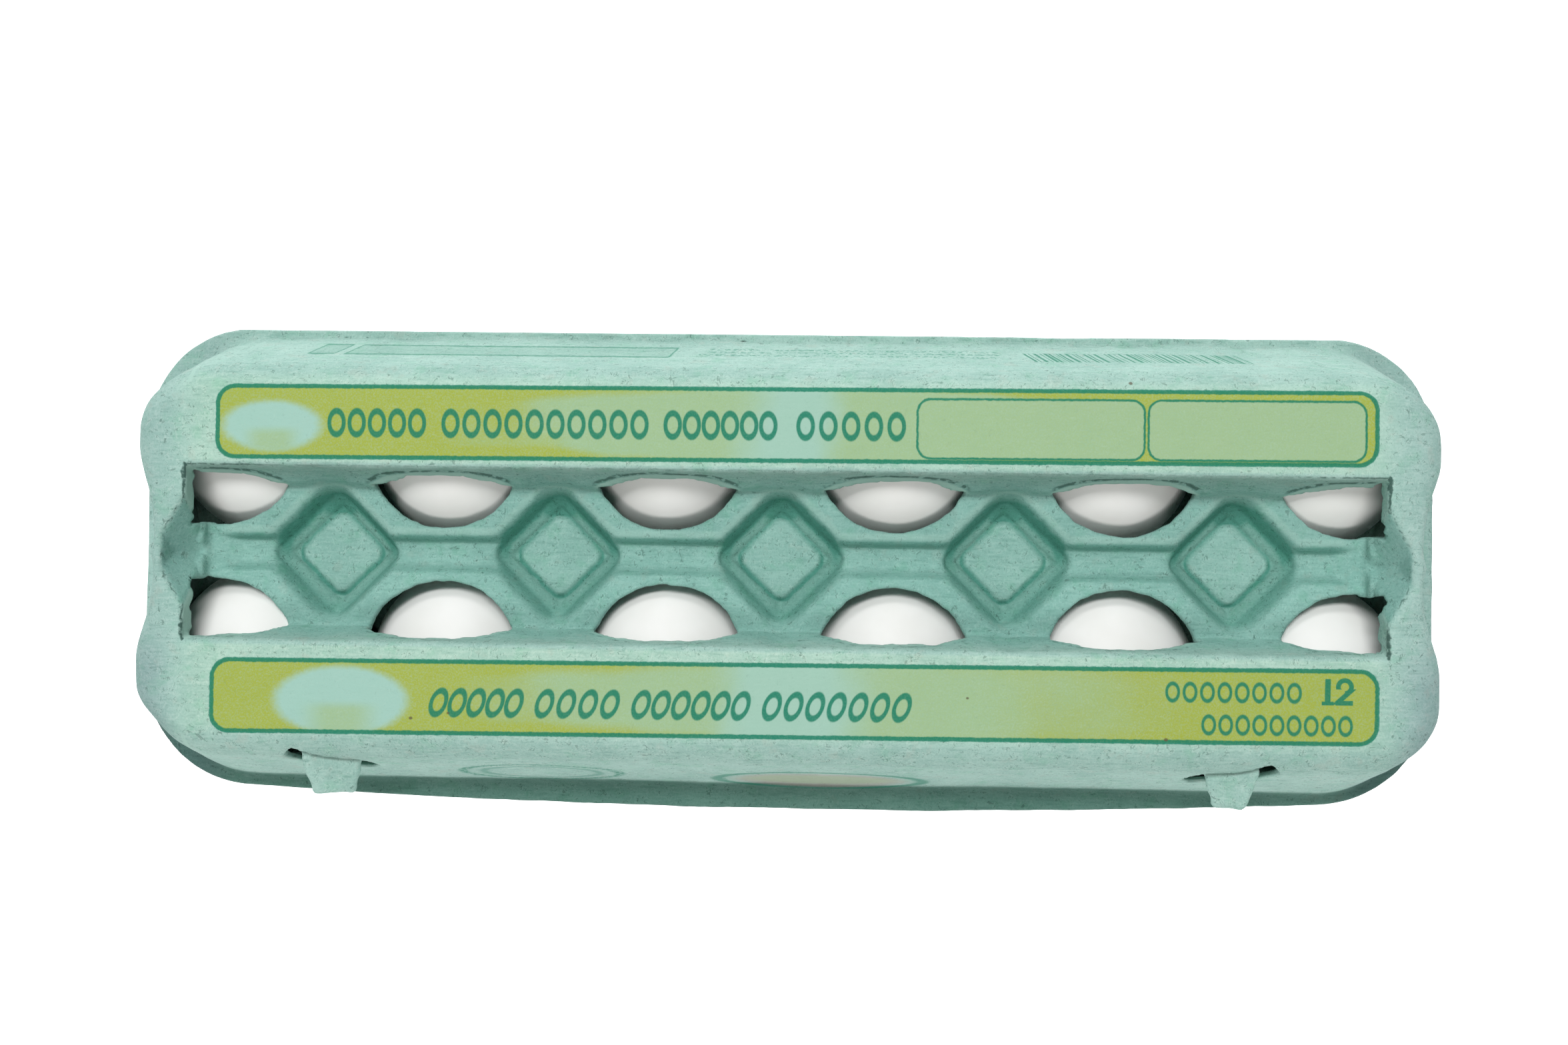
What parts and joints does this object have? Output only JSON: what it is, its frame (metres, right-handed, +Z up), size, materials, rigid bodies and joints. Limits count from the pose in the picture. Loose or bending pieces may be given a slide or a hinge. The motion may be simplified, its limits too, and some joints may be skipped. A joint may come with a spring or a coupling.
{
  "type": "egg carton with eggs",
  "caption": "Moulded-pulp egg carton, closed, with windows in its lid and an egg in every cup; the lid lifts on a hinge along the back and locks with tongues at the front.",
  "frame": {"origin": "centre of the underside, on the surface the carton stands on", "axes": "+X along the carton's length, +Y towards the hinge at the back, +Z up"},
  "size_m": [0.301, 0.111, 0.066],
  "materials": {
    "pulp": "matte",
    "eggshell": "satin"
  },
  "bodies": {
    "tray_body": {"tray": "pulp", "lock_flap": "pulp", "egg_back_1": "eggshell", "egg_back_2": "eggshell", "egg_back_3": "eggshell", "egg_back_4": "eggshell", "egg_back_5": "eggshell", "egg_back_6": "eggshell", "egg_front_1": "eggshell", "egg_front_2": "eggshell", "egg_front_3": "eggshell", "egg_front_4": "eggshell", "egg_front_5": "eggshell", "egg_front_6": "eggshell"},
    "lid_body": {"lid": "pulp"}
  },
  "joints": [
    {"name": "lid_hinge", "type": "hinge", "parent": "tray_body", "child": "lid_body", "pos_m": [0, 0.0555, 0.03615], "axis": [-1, 0, 0], "range_deg": [0, 180], "deforming": ["lock_flap"]}
  ]
}
